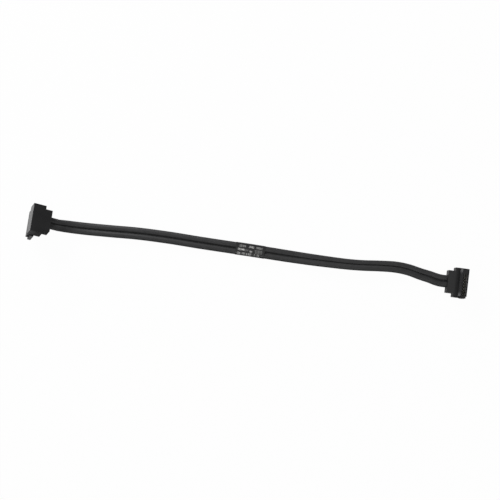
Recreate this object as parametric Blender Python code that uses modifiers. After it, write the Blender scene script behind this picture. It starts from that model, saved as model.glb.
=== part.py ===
"""A drive data cable: a flat twin-lobed lead with a right-angle plug moulded on each end.

Both plugs are the same. The right one lies on its back with its mouth up. The left one is turned
over and leans on one corner of its mouth, as the stiff lead holds it. Units are metres, Z is up and
the origin is on the table, under the middle of the two plugs.
"""

import math

import bmesh
import bpy
from mathutils import Matrix, Vector

MM = 0.001

# Clearances
SEAT_GAP = 0.05 * MM  # between pieces that touch on the real plug
CUT_MARGIN = 0.5 * MM  # how far a cutter runs past the face that it opens
WELD_DISTANCE = 1e-7

# Lead
LEAD_WIDTH = 5.6 * MM
LEAD_THICKNESS = 2.3 * MM
WEB_WIDTH = 0.16 * MM  # the flat bottom of the groove between the lobes
WEB_THICKNESS = 0.5 * MM
LOBE_STEPS = 9
LEAD_POINT_SPACING = 4.8 * MM

# Wrapped label
LABEL_LENGTH = 13.4 * MM
LABEL_MIDDLE_X = 1.6 * MM
LABEL_WALL = 0.06 * MM
LABEL_POINTS = 5
LABEL_END_STEPS = 8

# Moulded cover of a plug: a wide body with a narrower collar where the lead enters
COVER_HEIGHT = 5.2 * MM
COLLAR_LENGTH = 3.05 * MM
COLLAR_WALL = 0.59 * MM
BODY_LENGTH = 5.75 * MM
BODY_SHELF = 0.43 * MM  # how far the body stands out past the nose, on the key's side
BODY_RIB_SHELF = 0.63 * MM  # the same on the rib's side
COVER_ROUNDING = 0.15 * MM
COVER_FLOOR = 1.15 * MM
COVER_CEILING = 1.25 * MM
LEAD_SEAT_DEPTH = 1.7 * MM
WIRE_ROOM_LENGTH = 1.9 * MM
WIRE_THROAT_INSET = 0.8 * MM  # the throat's side is this far inside the last contact

# Insulator with the mouth of the plug
NOSE_SHOULDER = 2.15 * MM  # from the collar to the nose
NOSE_THICKNESS = 2.9 * MM
NOSE_HEIGHT = 5.2 * MM  # above the cover
NOSE_ROUNDING = 0.15 * MM
RIB_SETBACK = 0.95 * MM  # from the front of the nose
RIB_THICKNESS = 1.5 * MM
RIB_REACH = 1.0 * MM
BASE_INSET = 0.2 * MM  # the part in the cover is smaller than the nose by this, all round
BASE_REAR_INSET = 0.1 * MM
BASE_LAP = 0.8 * MM  # how far the base runs up into the nose
COMB_LENGTH = 1.4 * MM
COMB_HEIGHT = 1.3 * MM
COMB_GROOVE_DEPTH = 0.25 * MM

# Slot in the mouth, with its key leg beside the first contact
SLOT_WIDTH = 1.2 * MM
SLOT_OUTER_WALL = 0.6 * MM
SLOT_END_WALL = 0.31 * MM
SLOT_KEY_WALL = 2.36 * MM
SLOT_DEPTH = 5.5 * MM
KEY_DEPTH = 0.7 * MM
KEY_WIDTH = 0.9 * MM
LEAD_IN = 0.15 * MM

# Contacts
CONTACT_COUNT = 7
CONTACT_PITCH = 1.27 * MM
CONTACT_WIDTH = 0.5 * MM
CONTACT_THICKNESS = 0.2 * MM
CONTACT_BEND = 0.25 * MM
CONTACT_BEND_CORNER = 0.3  # share of the bend where its middle point stands
MITRE_LIMIT = 0.5
CONTACT_ROW_SHIFT = -1.5 * MM  # of the row's middle, from the middle of the lead
CONTACT_TO_SLOT_END = 0.45 * MM
CONTACT_TO_KEY_END = 1.6 * MM
CONTACT_REACH = 0.75 * MM  # how far the spring stands out into the slot
CONTACT_CREST_DEPTH = 1.3 * MM
CONTACT_TIP_DEPTH = 0.45 * MM
CONTACT_TIP_SETBACK = 0.7 * MM
CONTACT_BOW = 0.05 * MM  # how far the crest stands past its own two ends
CONTACT_RISER_TOP = 0.6 * MM  # above the slot's floor
CONTACT_SIDE_WAY = 0.3 * MM  # how far the grooves run out into the slot
GROOVE_WALL = 0.45 * MM
GROOVE_CLEARANCE = 0.08 * MM
GROOVE_SIDE_CLEARANCE = 0.15 * MM

# Wires inside each plug
CORE_DIAMETER = 0.62 * MM
CORE_SPACING = 0.7 * MM
DRAIN_DIAMETER = 0.28 * MM
DRAIN_OFFSET = 0.92 * MM
CORE_OVERLAP = 0.75 * MM  # how far a core reaches over its contact's tail
SIGNAL_CONTACT_NUMBERS = (2, 3, 5, 6)
DRAIN_CONTACT_NUMBERS = (1, 4, 4, 7)
SHARED_DRAIN_SPACING = 0.36 * MM
WIRE_STEPS = 8
WIRE_STRAIGHT = 0.13  # share of a wire's length that is straight at each end

# Where the lead enters each plug, at the back face of its cover
RIGHT_ENTRY = (91.4 * MM, 0.9 * MM)
RIGHT_YAW = math.radians(1.0)
LEFT_ENTRY = (-88.2 * MM, 1.4 * MM)
LEFT_YAW = math.radians(4.1)
LEFT_TILT = math.radians(25.8)
LEFT_ROLL = math.radians(19.0)

# Route of the lead between the plugs: x, y and z of its middle in mm, and its roll in degrees
ROUTE = (
    (-82.0, 0.35, 3.15, 9),
    (-77.8, 0.48, 2.00, 3),
    (-71.4, 0.74, 1.40, 0),
    (-61.4, 1.30, 1.25, 0),
    (-49.4, 2.00, 1.25, 0),
    (-35.4, 2.20, 1.25, 0),
    (-21.4, 2.00, 1.30, 0),
    (-7.4, 1.95, 1.40, 0),
    (1.6, 1.95, 1.40, 0),
    (10.6, 1.85, 1.42, 4),
    (20.6, 1.75, 1.52, 12),
    (31.6, 1.75, 1.78, 22),
    (44.6, 2.00, 2.02, 32),
    (52.6, 2.50, 2.08, 34),
    (60.6, 3.40, 2.05, 32),
    (67.6, 3.95, 1.95, 26),
    (73.6, 3.62, 1.90, 23),
    (79.6, 2.44, 2.00, 17),
    (84.6, 1.62, 2.35, 9),
)
STRAIGHT_OUT = 4.2 * MM  # the lead leaves each plug straight for this far
STRAIGHT_MIDDLE = 2.8 * MM
SAMPLES_PER_SPAN = 24

WEB_ANGLE = math.asin(WEB_THICKNESS / LEAD_THICKNESS)
LOBE_WIDTH = (LEAD_WIDTH - WEB_WIDTH) / (1 + math.cos(WEB_ANGLE))
LOBE_MIDDLE = (LEAD_WIDTH - LOBE_WIDTH) / 2
NOSE_REAR = COLLAR_LENGTH + NOSE_SHOULDER
NOSE_FRONT = NOSE_REAR + NOSE_THICKNESS
MOUTH = COVER_HEIGHT + NOSE_HEIGHT
SLOT_FRONT = NOSE_FRONT - SLOT_OUTER_WALL
SLOT_REAR = SLOT_FRONT - SLOT_WIDTH
SLOT_FLOOR = MOUTH - SLOT_DEPTH
CONTACT_ROW = CONTACT_PITCH * (CONTACT_COUNT - 1)
FIRST_CONTACT_Y = CONTACT_ROW_SHIFT + CONTACT_ROW / 2
LAST_CONTACT_Y = CONTACT_ROW_SHIFT - CONTACT_ROW / 2
SLOT_LOW_END = LAST_CONTACT_Y - CONTACT_TO_SLOT_END
SLOT_HIGH_END = FIRST_CONTACT_Y + CONTACT_TO_KEY_END
NOSE_LOW_SIDE = SLOT_LOW_END - SLOT_END_WALL
NOSE_HIGH_SIDE = SLOT_HIGH_END + SLOT_KEY_WALL
THROAT_SIDE = -LAST_CONTACT_Y - WIRE_THROAT_INSET
COLLAR_SIDE = THROAT_SIDE + COLLAR_WALL
BODY_LOW_SIDE = NOSE_LOW_SIDE - BODY_RIB_SHELF
BODY_HIGH_SIDE = NOSE_HIGH_SIDE + BODY_SHELF
BASE_REAR = NOSE_REAR + BASE_REAR_INSET
BASE_FRONT = NOSE_FRONT - BASE_INSET
BASE_LOW_SIDE = NOSE_LOW_SIDE + BASE_INSET
BASE_HIGH_SIDE = NOSE_HIGH_SIDE - BASE_INSET
BASE_BOTTOM = COVER_FLOOR + SEAT_GAP
COMB_REAR = BASE_REAR - COMB_LENGTH
COMB_TOP = BASE_BOTTOM + COMB_HEIGHT
TAIL_FLOOR = COMB_TOP - COMB_GROOVE_DEPTH
GROOVE_BACK = NOSE_REAR + GROOVE_WALL
LEAD_LEVEL = COVER_HEIGHT / 2
WIRE_START = LEAD_SEAT_DEPTH + SEAT_GAP
WIRE_ROOM_REAR = BASE_REAR - WIRE_ROOM_LENGTH
TAIL_TOP = TAIL_FLOOR + SEAT_GAP + CONTACT_THICKNESS

MATERIALS = {
    "plug_plastic": ((0.016, 0.016, 0.017), 0.42, 0.0),
    "lead_jacket": ((0.02, 0.02, 0.021), 0.5, 0.0),
    "label_film": ((0.012, 0.012, 0.013), 0.35, 0.0),
    "contact_metal": ((0.83, 0.62, 0.27), 0.3, 1.0),
    "core_insulation": ((0.62, 0.63, 0.66), 0.45, 0.0),
    "drain_wire": ((0.72, 0.7, 0.67), 0.3, 1.0),
}


def clear_scene():
    for obj in list(bpy.data.objects):
        bpy.data.objects.remove(obj, do_unlink=True)


def new_collection(name):
    collection = bpy.data.collections.new(name)
    bpy.context.scene.collection.children.link(collection)
    return collection


def new_material(name):
    colour, roughness, metallic = MATERIALS[name]
    material = bpy.data.materials.new(name)
    material.use_nodes = True
    shader = material.node_tree.nodes["Principled BSDF"]
    shader.inputs["Base Color"].default_value = (*colour, 1.0)
    shader.inputs["Roughness"].default_value = roughness
    shader.inputs["Metallic"].default_value = metallic
    return material


def move_to(obj, collection):
    for old in list(obj.users_collection):
        old.objects.unlink(obj)
    collection.objects.link(obj)


def finish_piece(obj, name, collection, material, parent=None):
    """Names a piece, gives it its material and hangs it on its plug."""
    obj.name = name
    obj.data.name = name
    obj.data.materials.clear()
    obj.data.materials.append(material)
    move_to(obj, collection)
    obj.parent = parent
    return obj


def finish_cutter(obj, name, collection, parent=None):
    obj.name = name
    obj.hide_render = True
    obj.display_type = "WIRE"
    move_to(obj, collection)
    obj.parent = parent
    return obj


def as_mesh(curve_object):
    """Turns a curve into a mesh with welded caps, and removes the curve."""
    depsgraph = bpy.context.evaluated_depsgraph_get()
    mesh = bpy.data.meshes.new_from_object(curve_object.evaluated_get(depsgraph))
    shape = bmesh.new()
    shape.from_mesh(mesh)
    bmesh.ops.remove_doubles(shape, verts=shape.verts, dist=WELD_DISTANCE)
    bmesh.ops.recalc_face_normals(shape, faces=shape.faces)
    shape.to_mesh(mesh)
    shape.free()
    obj = bpy.data.objects.new(curve_object.name, mesh)
    bpy.context.scene.collection.objects.link(obj)
    obj.matrix_world = curve_object.matrix_world
    bpy.data.objects.remove(curve_object, do_unlink=True)
    return obj


def outline_curve(points, half_height=0.0, rim=0.0):
    """A flat closed outline in XY, extruded both ways."""
    curve = bpy.data.curves.new("outline", "CURVE")
    curve.dimensions = "2D"
    curve.fill_mode = "BOTH"
    curve.extrude = half_height
    curve.bevel_depth = rim
    curve.bevel_resolution = 0
    spline = curve.splines.new("POLY")
    spline.points.add(len(points) - 1)
    for point, (x, y) in zip(spline.points, points):
        point.co = (x, y, 0.0, 1.0)
    spline.use_cyclic_u = True
    obj = bpy.data.objects.new("outline", curve)
    bpy.context.scene.collection.objects.link(obj)
    return obj


def plan_solid(points, low, high):
    """An outline seen from above, as a solid from one height to another."""
    obj = outline_curve(points, (high - low) / 2)
    obj.location.z = (low + high) / 2
    bpy.context.view_layer.update()
    return as_mesh(obj)


def side_solid(points, middle_y, width):
    """An outline of x and z, as a solid of some width across the plug."""
    obj = outline_curve(points, width / 2)
    obj.rotation_euler.x = math.pi / 2
    obj.location.y = middle_y
    bpy.context.view_layer.update()
    return as_mesh(obj)


def lead_direction_solid(points, start, end, level):
    """An outline of y and z, as a solid from one distance along the plug to another."""
    obj = outline_curve(points, (end - start) / 2)
    obj.matrix_world = Matrix(
        (
            (0.0, 0.0, 1.0, (start + end) / 2),
            (1.0, 0.0, 0.0, 0.0),
            (0.0, 1.0, 0.0, level),
            (0.0, 0.0, 0.0, 1.0),
        )
    )
    bpy.context.view_layer.update()
    return as_mesh(obj)


def rectangle(low_x, high_x, low_y, high_y):
    return [(low_x, low_y), (high_x, low_y), (high_x, high_y), (low_x, high_y)]


def round_edges(obj, radius, segments):
    bevel = obj.modifiers.new("rounded edges", "BEVEL")
    bevel.width = radius
    bevel.segments = segments
    bevel.limit_method = "ANGLE"
    bevel.angle_limit = math.radians(40)


def join_with(obj, other):
    modifier = obj.modifiers.new("join", "BOOLEAN")
    modifier.operation = "UNION"
    modifier.solver = "EXACT"
    modifier.object = other


def cut_with(obj, cutter):
    modifier = obj.modifiers.new("cut", "BOOLEAN")
    modifier.operation = "DIFFERENCE"
    modifier.solver = "EXACT"
    modifier.object = cutter


def shade(obj, degrees=35):
    obj.data.shade_smooth()
    obj.data.set_sharp_from_angle(angle=math.radians(degrees))


def lead_section(clearance=0.0):
    """The lead's section: two oval lobes joined by a web, as a closed outline."""
    half_width = LOBE_WIDTH / 2 + clearance
    half_height = LEAD_THICKNESS / 2 + clearance
    half_web = WEB_THICKNESS / 2 + clearance
    reach = math.pi - math.asin(half_web / half_height)
    points = []
    for side in (1, -1):
        for step in range(2 * LOBE_STEPS + 1):
            angle = reach * (step / LOBE_STEPS - 1)
            y = LOBE_MIDDLE + half_width * math.cos(angle)
            z = half_height * math.sin(angle)
            points.append((side * y, side * z))
    return points


def label_section():
    """The inside of the wrapped label: flat above and below, round at both sides."""
    radius = LEAD_THICKNESS / 2 + SEAT_GAP
    centre = LEAD_WIDTH / 2 + SEAT_GAP - radius
    points = []
    for side in (1, -1):
        for step in range(LABEL_END_STEPS + 1):
            angle = math.pi * (step / LABEL_END_STEPS - 0.5)
            y = centre + radius * math.cos(angle)
            z = radius * math.sin(angle)
            points.append((side * y, side * z))
    return points


def plug_turn(yaw, tilt, roll, turned_over):
    """How a plug is turned: its x runs away from the lead, its z from the back towards the mouth."""
    turn = Matrix.Rotation(yaw, 4, "Z") @ Matrix.Rotation(-roll, 4, "X") @ Matrix.Rotation(tilt, 4, "Y")
    if turned_over:
        turn = turn @ Matrix.Rotation(math.pi, 4, "Y")
    return turn


def stand_on_table(plug, entry, turn):
    """Puts a plug in its place with the lowest point of its pieces on the table."""
    plug.matrix_world = turn
    bpy.context.view_layer.update()
    depsgraph = bpy.context.evaluated_depsgraph_get()
    lowest = math.inf
    for piece in plug.children:
        if piece.display_type != "WIRE":
            mesh = piece.evaluated_get(depsgraph).to_mesh()
            for vertex in mesh.vertices:
                lowest = min(lowest, (piece.matrix_world @ vertex.co).z)
    plug.matrix_world = Matrix.Translation((*entry, -lowest)) @ turn
    bpy.context.view_layer.update()


def smooth_line(points, samples):
    """A smooth curve through points with any number of values each, Catmull-Rom spans."""
    line = []
    last = len(points) - 1
    for span in range(last):
        before = points[max(span - 1, 0)]
        start = points[span]
        end = points[span + 1]
        after = points[min(span + 2, last)]
        for step in range(samples):
            t = step / samples
            values = []
            for a, b, c, d in zip(before, start, end, after):
                values.append(
                    0.5
                    * (
                        2 * b
                        + (c - a) * t
                        + (2 * a - 5 * b + 4 * c - d) * t * t
                        + (3 * b - a - 3 * c + d) * t * t * t
                    )
                )
            line.append(tuple(values))
    line.append(tuple(points[last]))
    return line


def spaced_line(line, spacing):
    """The same line with points an equal distance apart, both ends kept."""
    lengths = [0.0]
    for a, b in zip(line, line[1:]):
        lengths.append(lengths[-1] + (Vector(b[:3]) - Vector(a[:3])).length)
    count = max(2, round(lengths[-1] / spacing))
    result = []
    at = 0
    for step in range(count + 1):
        wanted = lengths[-1] * step / count
        while at < len(line) - 2 and lengths[at + 1] < wanted:
            at += 1
        share = (wanted - lengths[at]) / (lengths[at + 1] - lengths[at])
        result.append(tuple(p + (q - p) * share for p, q in zip(line[at], line[at + 1])))
    return result


def roll_in_plug(matrix, turned_over):
    """The roll that lines the lead's flat side up with a plug's back, about the lead's own line."""
    direction = (matrix.to_3x3() @ Vector((1, 0, 0))) * (-1 if turned_over else 1)
    upward = (matrix.to_3x3() @ Vector((0, 0, 1))) * (-1 if turned_over else 1)
    level = (Vector((0, 0, 1)) - direction * direction.z).normalized()
    across = direction.cross(level)
    return math.atan2(upward.dot(across), upward.dot(level))


def lead_line(left_plug, right_plug):
    """The lead's middle line with its roll, from inside the left collar to inside the right one."""
    seat = LEAD_SEAT_DEPTH
    points = []
    left_roll = roll_in_plug(left_plug, True)
    for x in (seat, -STRAIGHT_MIDDLE, -STRAIGHT_OUT):
        points.append((*(left_plug @ Vector((x, 0, LEAD_LEVEL))), left_roll))
    for x, y, z, roll in ROUTE:
        points.append((x * MM, y * MM, z * MM, math.radians(-roll)))
    right_roll = roll_in_plug(right_plug, False)
    for x in (-STRAIGHT_OUT, -STRAIGHT_MIDDLE, seat):
        points.append((*(right_plug @ Vector((x, 0, LEAD_LEVEL))), right_roll))
    return smooth_line(points, SAMPLES_PER_SPAN)


def swept(points, section, capped):
    """A section swept along a line of x, y, z and roll."""
    profile = outline_curve(section)
    curve = bpy.data.curves.new("sweep", "CURVE")
    curve.dimensions = "3D"
    curve.twist_mode = "Z_UP"
    curve.bevel_mode = "OBJECT"
    curve.bevel_object = profile
    curve.use_fill_caps = capped
    spline = curve.splines.new("POLY")
    spline.points.add(len(points) - 1)
    for point, (x, y, z, roll) in zip(spline.points, points):
        point.co = (x, y, z, 1.0)
        point.tilt = roll
    obj = bpy.data.objects.new("sweep", curve)
    bpy.context.scene.collection.objects.link(obj)
    bpy.context.view_layer.update()
    result = as_mesh(obj)
    bpy.data.objects.remove(profile, do_unlink=True)
    return result


def make_lead(line, collection, material):
    jacket = swept(spaced_line(line, LEAD_POINT_SPACING), lead_section(), True)
    finish_piece(jacket, "cable_jacket", collection, material)
    shade(jacket, 60)


def make_label(line, collection, material):
    low_x = LABEL_MIDDLE_X - LABEL_LENGTH / 2
    high_x = LABEL_MIDDLE_X + LABEL_LENGTH / 2
    stretch = [point for point in line if low_x <= point[0] <= high_x]
    spacing = LABEL_LENGTH / (LABEL_POINTS - 1)
    sleeve = swept(spaced_line(stretch, spacing), label_section(), False)
    finish_piece(sleeve, "label_sleeve", collection, material)
    wall = sleeve.modifiers.new("film thickness", "SOLIDIFY")
    wall.thickness = LABEL_WALL
    wall.offset = 1.0
    shade(sleeve, 50)


def make_cover(name, plug, parts, cutters, material):
    """The moulded cover: a T in plan, open where the lead and the insulator go in."""
    length = COLLAR_LENGTH + BODY_LENGTH
    outline = [
        (0.0, -COLLAR_SIDE),
        (COLLAR_LENGTH, -COLLAR_SIDE),
        (COLLAR_LENGTH, BODY_LOW_SIDE),
        (length, BODY_LOW_SIDE),
        (length, BODY_HIGH_SIDE),
        (COLLAR_LENGTH, BODY_HIGH_SIDE),
        (COLLAR_LENGTH, COLLAR_SIDE),
        (0.0, COLLAR_SIDE),
    ]
    cover = plan_solid(outline, 0.0, COVER_HEIGHT)
    finish_piece(cover, name, parts, material, plug)
    round_edges(cover, COVER_ROUNDING, 3)

    pocket = plan_solid(
        rectangle(
            BASE_REAR - SEAT_GAP,
            BASE_FRONT + SEAT_GAP,
            BASE_LOW_SIDE - SEAT_GAP,
            BASE_HIGH_SIDE + SEAT_GAP,
        ),
        COVER_FLOOR,
        COVER_HEIGHT + CUT_MARGIN,
    )
    finish_cutter(pocket, name + "_pocket", cutters, plug)
    cut_with(cover, pocket)

    room_front = BASE_REAR + SEAT_GAP
    room_outline = [
        (LEAD_SEAT_DEPTH, -THROAT_SIDE),
        (WIRE_ROOM_REAR, -THROAT_SIDE),
        (WIRE_ROOM_REAR, BASE_LOW_SIDE),
        (room_front, BASE_LOW_SIDE),
        (room_front, BASE_HIGH_SIDE),
        (WIRE_ROOM_REAR, BASE_HIGH_SIDE),
        (WIRE_ROOM_REAR, THROAT_SIDE),
        (LEAD_SEAT_DEPTH, THROAT_SIDE),
    ]
    room = plan_solid(room_outline, COVER_FLOOR, COVER_HEIGHT - COVER_CEILING)
    finish_cutter(room, name + "_wire_room", cutters, plug)
    cut_with(cover, room)

    entry = lead_direction_solid(
        lead_section(SEAT_GAP), -CUT_MARGIN, LEAD_SEAT_DEPTH + CUT_MARGIN, LEAD_LEVEL
    )
    finish_cutter(entry, name + "_lead_entry", cutters, plug)
    cut_with(cover, entry)
    shade(cover)


def contact_places():
    """Where the contacts stand across the plug, the first beside the key."""
    return [FIRST_CONTACT_Y - CONTACT_PITCH * i for i in range(CONTACT_COUNT)]


def slot_outline():
    """The slot seen from the mouth: a long bar with a key leg at its high end."""
    return [
        (SLOT_REAR, SLOT_LOW_END),
        (SLOT_FRONT, SLOT_LOW_END),
        (SLOT_FRONT, SLOT_HIGH_END),
        (SLOT_REAR - KEY_DEPTH, SLOT_HIGH_END),
        (SLOT_REAR - KEY_DEPTH, SLOT_HIGH_END - KEY_WIDTH),
        (SLOT_REAR, SLOT_HIGH_END - KEY_WIDTH),
    ]


def groove_outline():
    """The way of one contact through the insulator, seen from the side."""
    channel_front = GROOVE_BACK + 2 * SEAT_GAP + CONTACT_THICKNESS + GROOVE_CLEARANCE
    tail_way_top = TAIL_TOP + CONTACT_BEND + GROOVE_CLEARANCE
    return [
        (COMB_REAR - CUT_MARGIN, TAIL_FLOOR),
        (channel_front, TAIL_FLOOR),
        (channel_front, SLOT_FLOOR),
        (SLOT_REAR + CONTACT_SIDE_WAY, SLOT_FLOOR),
        (SLOT_REAR + CONTACT_SIDE_WAY, MOUTH + CUT_MARGIN),
        (GROOVE_BACK, MOUTH + CUT_MARGIN),
        (GROOVE_BACK, tail_way_top),
        (COMB_REAR - CUT_MARGIN, tail_way_top),
    ]


def make_insulator(name, plug, parts, cutters, material):
    """The nose with its slot and side rib, the base in the cover and the comb under the tails."""
    nose = plan_solid(
        rectangle(NOSE_REAR, NOSE_FRONT, NOSE_LOW_SIDE, NOSE_HIGH_SIDE),
        COVER_HEIGHT + SEAT_GAP,
        MOUTH,
    )
    finish_piece(nose, name, parts, material, plug)
    round_edges(nose, NOSE_ROUNDING, 3)

    rib_front = NOSE_FRONT - RIB_SETBACK
    rib = plan_solid(
        rectangle(
            rib_front - RIB_THICKNESS,
            rib_front,
            NOSE_LOW_SIDE - RIB_REACH,
            NOSE_LOW_SIDE + NOSE_ROUNDING,
        ),
        COVER_HEIGHT + SEAT_GAP,
        MOUTH,
    )
    finish_cutter(rib, name + "_rib", cutters, plug)
    join_with(nose, rib)

    base = plan_solid(
        rectangle(BASE_REAR, BASE_FRONT, BASE_LOW_SIDE, BASE_HIGH_SIDE),
        BASE_BOTTOM,
        COVER_HEIGHT + BASE_LAP,
    )
    finish_cutter(base, name + "_base", cutters, plug)
    join_with(nose, base)

    comb = plan_solid(
        rectangle(
            COMB_REAR,
            BASE_REAR + BASE_INSET,
            BASE_LOW_SIDE + SEAT_GAP,
            BASE_HIGH_SIDE - SEAT_GAP,
        ),
        BASE_BOTTOM,
        COMB_TOP,
    )
    finish_cutter(comb, name + "_comb", cutters, plug)
    join_with(nose, comb)

    slot = plan_solid(slot_outline(), SLOT_FLOOR, MOUTH + CUT_MARGIN)
    finish_cutter(slot, name + "_slot", cutters, plug)
    cut_with(nose, slot)

    flare_curve = outline_curve(slot_outline(), rim=LEAD_IN)
    flare_curve.location.z = MOUTH
    bpy.context.view_layer.update()
    flare = as_mesh(flare_curve)
    finish_cutter(flare, name + "_lead_in", cutters, plug)
    cut_with(nose, flare)

    groove_width = CONTACT_WIDTH + 2 * GROOVE_SIDE_CLEARANCE
    for number, y in enumerate(contact_places(), 1):
        groove = side_solid(groove_outline(), y, groove_width)
        finish_cutter(groove, f"{name}_groove_{number}", cutters, plug)
        cut_with(nose, groove)
    shade(nose)


def strip_outline(points, thickness):
    """A bent strip seen from the side, from its middle line."""
    left = []
    right = []
    for i, (x, z) in enumerate(points):
        before = Vector(points[max(i - 1, 0)])
        after = Vector(points[min(i + 1, len(points) - 1)])
        here = Vector((x, z))
        first = (here - before).normalized() if i > 0 else (after - here).normalized()
        second = (after - here).normalized() if i < len(points) - 1 else first
        middle = (first + second).normalized()
        normal = Vector((-middle.y, middle.x))
        widen = thickness / 2 / max(normal.dot(Vector((-first.y, first.x))), MITRE_LIMIT)
        left.append(tuple(here + normal * widen))
        right.append(tuple(here - normal * widen))
    return left + right[::-1]


def contact_line():
    """The middle line of a contact: tail in the comb, riser, spring crest and tip."""
    half = CONTACT_THICKNESS / 2
    tail = TAIL_FLOOR + SEAT_GAP + half
    riser = GROOVE_BACK + SEAT_GAP + half
    crest = SLOT_REAR + CONTACT_REACH - half
    corner = CONTACT_BEND * CONTACT_BEND_CORNER
    return [
        (COMB_REAR + SEAT_GAP, tail),
        (riser - CONTACT_BEND, tail),
        (riser - corner, tail + corner),
        (riser, tail + CONTACT_BEND),
        (riser, SLOT_FLOOR + CONTACT_RISER_TOP),
        (crest - CONTACT_BOW, MOUTH - CONTACT_CREST_DEPTH - CONTACT_BEND),
        (crest, MOUTH - CONTACT_CREST_DEPTH),
        (crest - CONTACT_BOW, MOUTH - CONTACT_CREST_DEPTH + CONTACT_BEND),
        (crest - CONTACT_TIP_SETBACK, MOUTH - CONTACT_TIP_DEPTH),
    ]


def make_contacts(side, plug, parts, material):
    outline = strip_outline(contact_line(), CONTACT_THICKNESS)
    for number, y in enumerate(contact_places(), 1):
        contact = side_solid(outline, y, CONTACT_WIDTH)
        finish_piece(contact, f"{side}_contact_{number}", parts, material, plug)


def wire(points, diameter):
    curve = bpy.data.curves.new("wire", "CURVE")
    curve.dimensions = "3D"
    curve.bevel_depth = diameter / 2
    curve.bevel_resolution = 2
    curve.use_fill_caps = True
    spline = curve.splines.new("POLY")
    spline.points.add(len(points) - 1)
    for point, place in zip(spline.points, points):
        point.co = (*place, 1.0)
    obj = bpy.data.objects.new("wire", curve)
    bpy.context.scene.collection.objects.link(obj)
    bpy.context.view_layer.update()
    result = as_mesh(obj)
    shade(result, 60)
    return result


def wire_route(start_y, end_y, diameter):
    """From the lead's end, at its level, to just above the contact's tail: straight, an S, straight."""
    end_x = COMB_REAR + CORE_OVERLAP
    end_z = TAIL_TOP + SEAT_GAP + diameter / 2
    points = []
    for step in range(WIRE_STEPS + 1):
        share = step / WIRE_STEPS
        bend = min(max((share - WIRE_STRAIGHT) / (1 - 2 * WIRE_STRAIGHT), 0.0), 1.0)
        blend = bend * bend * (3 - 2 * bend)
        x = WIRE_START + (end_x - WIRE_START) * share
        y = start_y + (end_y - start_y) * blend
        z = LEAD_LEVEL + (end_z - LEAD_LEVEL) * blend
        points.append((x, y, z))
    return points


def make_wires(side, plug, parts, core_material, drain_material):
    """Four insulated cores and four bare drains, from the two lobes to their contacts."""
    places = contact_places()
    half = CORE_SPACING / 2
    core_starts = (LOBE_MIDDLE + half, LOBE_MIDDLE - half, half - LOBE_MIDDLE, -LOBE_MIDDLE - half)
    for number, (start_y, contact) in enumerate(zip(core_starts, SIGNAL_CONTACT_NUMBERS), 1):
        core = wire(wire_route(start_y, places[contact - 1], CORE_DIAMETER), CORE_DIAMETER)
        finish_piece(core, f"{side}_signal_core_{number}", parts, core_material, plug)
    drain_starts = (
        LOBE_MIDDLE + DRAIN_OFFSET,
        LOBE_MIDDLE - DRAIN_OFFSET,
        DRAIN_OFFSET - LOBE_MIDDLE,
        -LOBE_MIDDLE - DRAIN_OFFSET,
    )
    shared = SHARED_DRAIN_SPACING / 2
    drain_shifts = (0.0, shared, -shared, 0.0)
    for number, (start_y, contact, shift) in enumerate(
        zip(drain_starts, DRAIN_CONTACT_NUMBERS, drain_shifts), 1
    ):
        end_y = places[contact - 1] + shift
        drain = wire(wire_route(start_y, end_y, DRAIN_DIAMETER), DRAIN_DIAMETER)
        finish_piece(drain, f"{side}_drain_wire_{number}", parts, drain_material, plug)


def make_plug(side, entry, turn, parts, cutters, materials):
    plug = bpy.data.objects.new(f"{side}_plug", None)
    parts.objects.link(plug)
    make_cover(f"{side}_cover", plug, parts, cutters, materials["plug_plastic"])
    make_insulator(f"{side}_insulator", plug, parts, cutters, materials["plug_plastic"])
    make_contacts(side, plug, parts, materials["contact_metal"])
    make_wires(side, plug, parts, materials["core_insulation"], materials["drain_wire"])
    stand_on_table(plug, entry, turn)
    return plug


def main():
    clear_scene()
    parts = new_collection("drive_data_cable")
    cutters = new_collection("cutters")
    materials = {name: new_material(name) for name in MATERIALS}
    left_turn = plug_turn(LEFT_YAW, LEFT_TILT, LEFT_ROLL, True)
    right_turn = plug_turn(RIGHT_YAW, 0.0, 0.0, False)
    left_plug = make_plug("left", LEFT_ENTRY, left_turn, parts, cutters, materials)
    right_plug = make_plug("right", RIGHT_ENTRY, right_turn, parts, cutters, materials)
    line = lead_line(left_plug.matrix_world, right_plug.matrix_world)
    make_lead(line, parts, materials["lead_jacket"])
    make_label(line, parts, materials["label_film"])


main()
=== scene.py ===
# Flat drive data cable: a twin-lobed lead with a right-angle plug on each end.
# Metres, +Z up. Each piece here sits where its solid of the frame is.
import math

import bmesh
import bpy
from mathutils import Matrix, Vector


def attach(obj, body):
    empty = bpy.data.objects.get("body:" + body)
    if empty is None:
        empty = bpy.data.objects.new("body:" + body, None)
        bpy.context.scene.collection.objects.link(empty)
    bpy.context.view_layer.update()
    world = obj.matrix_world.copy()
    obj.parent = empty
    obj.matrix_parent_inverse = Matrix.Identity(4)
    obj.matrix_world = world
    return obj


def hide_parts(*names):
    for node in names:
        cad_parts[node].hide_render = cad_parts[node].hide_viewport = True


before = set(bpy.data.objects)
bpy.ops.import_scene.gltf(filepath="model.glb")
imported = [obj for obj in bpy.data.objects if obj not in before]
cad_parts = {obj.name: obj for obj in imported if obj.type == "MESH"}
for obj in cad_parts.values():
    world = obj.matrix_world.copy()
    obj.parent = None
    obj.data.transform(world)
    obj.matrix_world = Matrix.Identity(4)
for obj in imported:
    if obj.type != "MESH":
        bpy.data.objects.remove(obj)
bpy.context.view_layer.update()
scene = bpy.context.scene
mm = 0.001
print("frame loaded:", len(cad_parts), "nodes")


# Camera at the photograph's angle, almost straight down
cameraValues = {
    "elevation": 86.77,  # degrees above the table
    "azimuth": 8.407,
    "distance": 0.4581,
    "aim": (1.47 * mm, 2.11 * mm, 0.0),
    "lens": 72.5,
    "sensor": 36,
    "clip": (0.01, 20),
}


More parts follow.
